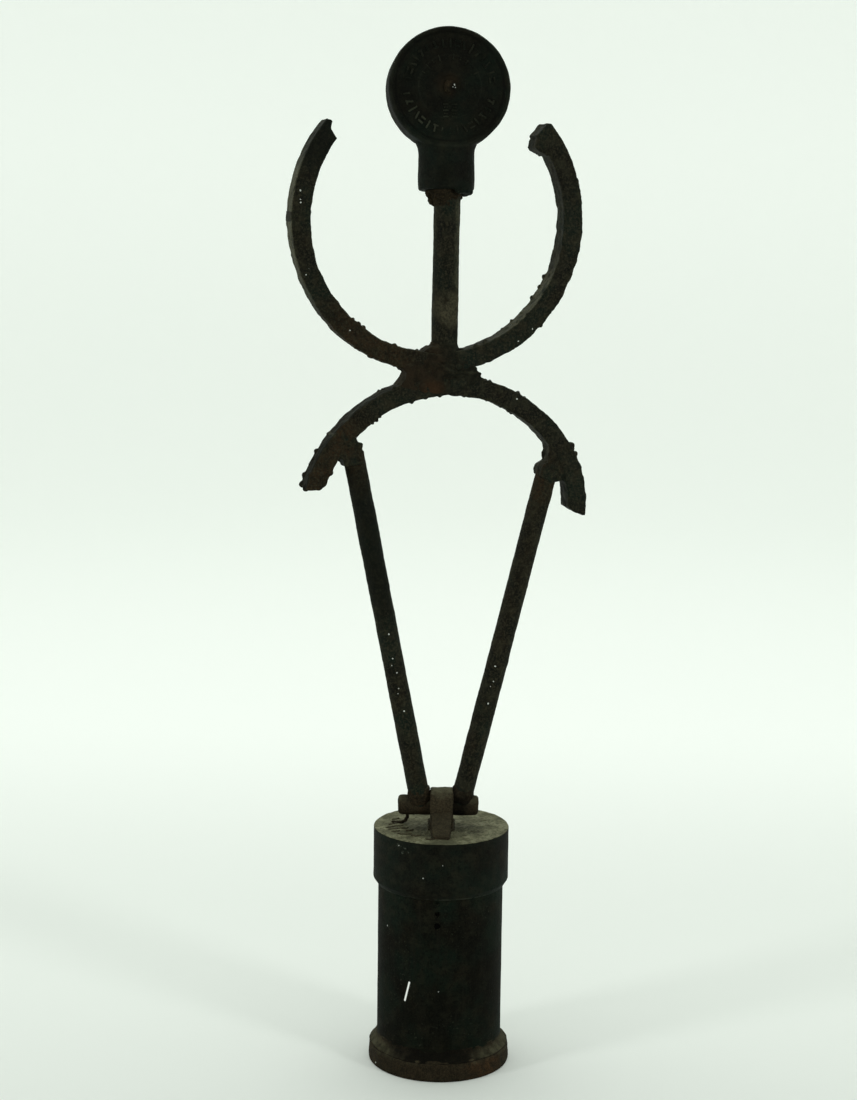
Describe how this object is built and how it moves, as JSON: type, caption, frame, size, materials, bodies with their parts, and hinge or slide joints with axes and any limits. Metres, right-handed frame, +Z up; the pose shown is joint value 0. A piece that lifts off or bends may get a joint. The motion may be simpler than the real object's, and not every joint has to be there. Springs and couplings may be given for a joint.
{
  "type": "scrap iron standing figure",
  "caption": "Rigid standing figure welded from iron bar, with raised curved arms and a disc head, on a round pipe base with a screw cap and a foot ring.",
  "frame": {"origin": "the pipe's axis at the ground, in the middle of the pipe's open lower end", "axes": "+Z up along the pipe; the figure's flat bars lie in the XZ plane and its face looks along -Y; +X is the figure's side with the right arm as seen from the front"},
  "size_m": [0.1787, 0.0828, 0.5966],
  "materials": {
    "blackened_iron": "near-black oiled iron with dust and faint scratches",
    "forged_bar": "dark mill scale, brown rust along edges and near welds",
    "rusty_iron": "matt brown rust over dark iron",
    "rusty_weld": "lumpy, rusty weld metal",
    "cast_head": "sandy cast surface, dark with dust in the low places",
    "seal_fibre": "hard oiled sealing ring, hidden"
  },
  "bodies": {
    "base": {"base_tube": "blackened_iron", "foot_ring": "rusty_iron", "foot_weld": "rusty_weld"},
    "sealing": {"seal_ring": "seal_fibre"},
    "figure": {"screw_cap": "blackened_iron", "lug_eye": "rusty_iron", "lug_rib": "rusty_iron", "lug_weld": "rusty_weld", "tommy_bar": "rusty_iron", "left_leg": "forged_bar", "right_leg": "forged_bar", "left_ankle_weld": "rusty_weld", "right_ankle_weld": "rusty_weld", "hip_arch": "forged_bar", "left_hip_weld": "rusty_weld", "right_hip_weld": "rusty_weld", "hub_weld": "rusty_weld", "lower_arms": "forged_bar", "left_forearm": "forged_bar", "right_forearm": "forged_bar", "left_elbow_weld": "rusty_weld", "right_elbow_weld": "rusty_weld", "torso_rod": "forged_bar", "torso_weld": "rusty_weld", "neck_weld": "rusty_weld", "head_casting": "cast_head", "face_marks": "cast_head", "head_screw": "rusty_iron"}
  },
  "joints": [
    {"name": "cap_rise", "type": "slide", "parent": "base", "child": "sealing", "axis": [0, 0, 1], "range_m": [0, 0.0143]},
    {"name": "cap_turn", "type": "hinge", "parent": "sealing", "child": "figure", "pos_m": [0, 0, 0], "axis": [0, 0, 1], "range_deg": [0, 1620]}
  ],
  "couplings": [
    {"joint": "cap_rise", "follows": "cap_turn", "m_per_rad": 0.00050532}
  ]
}
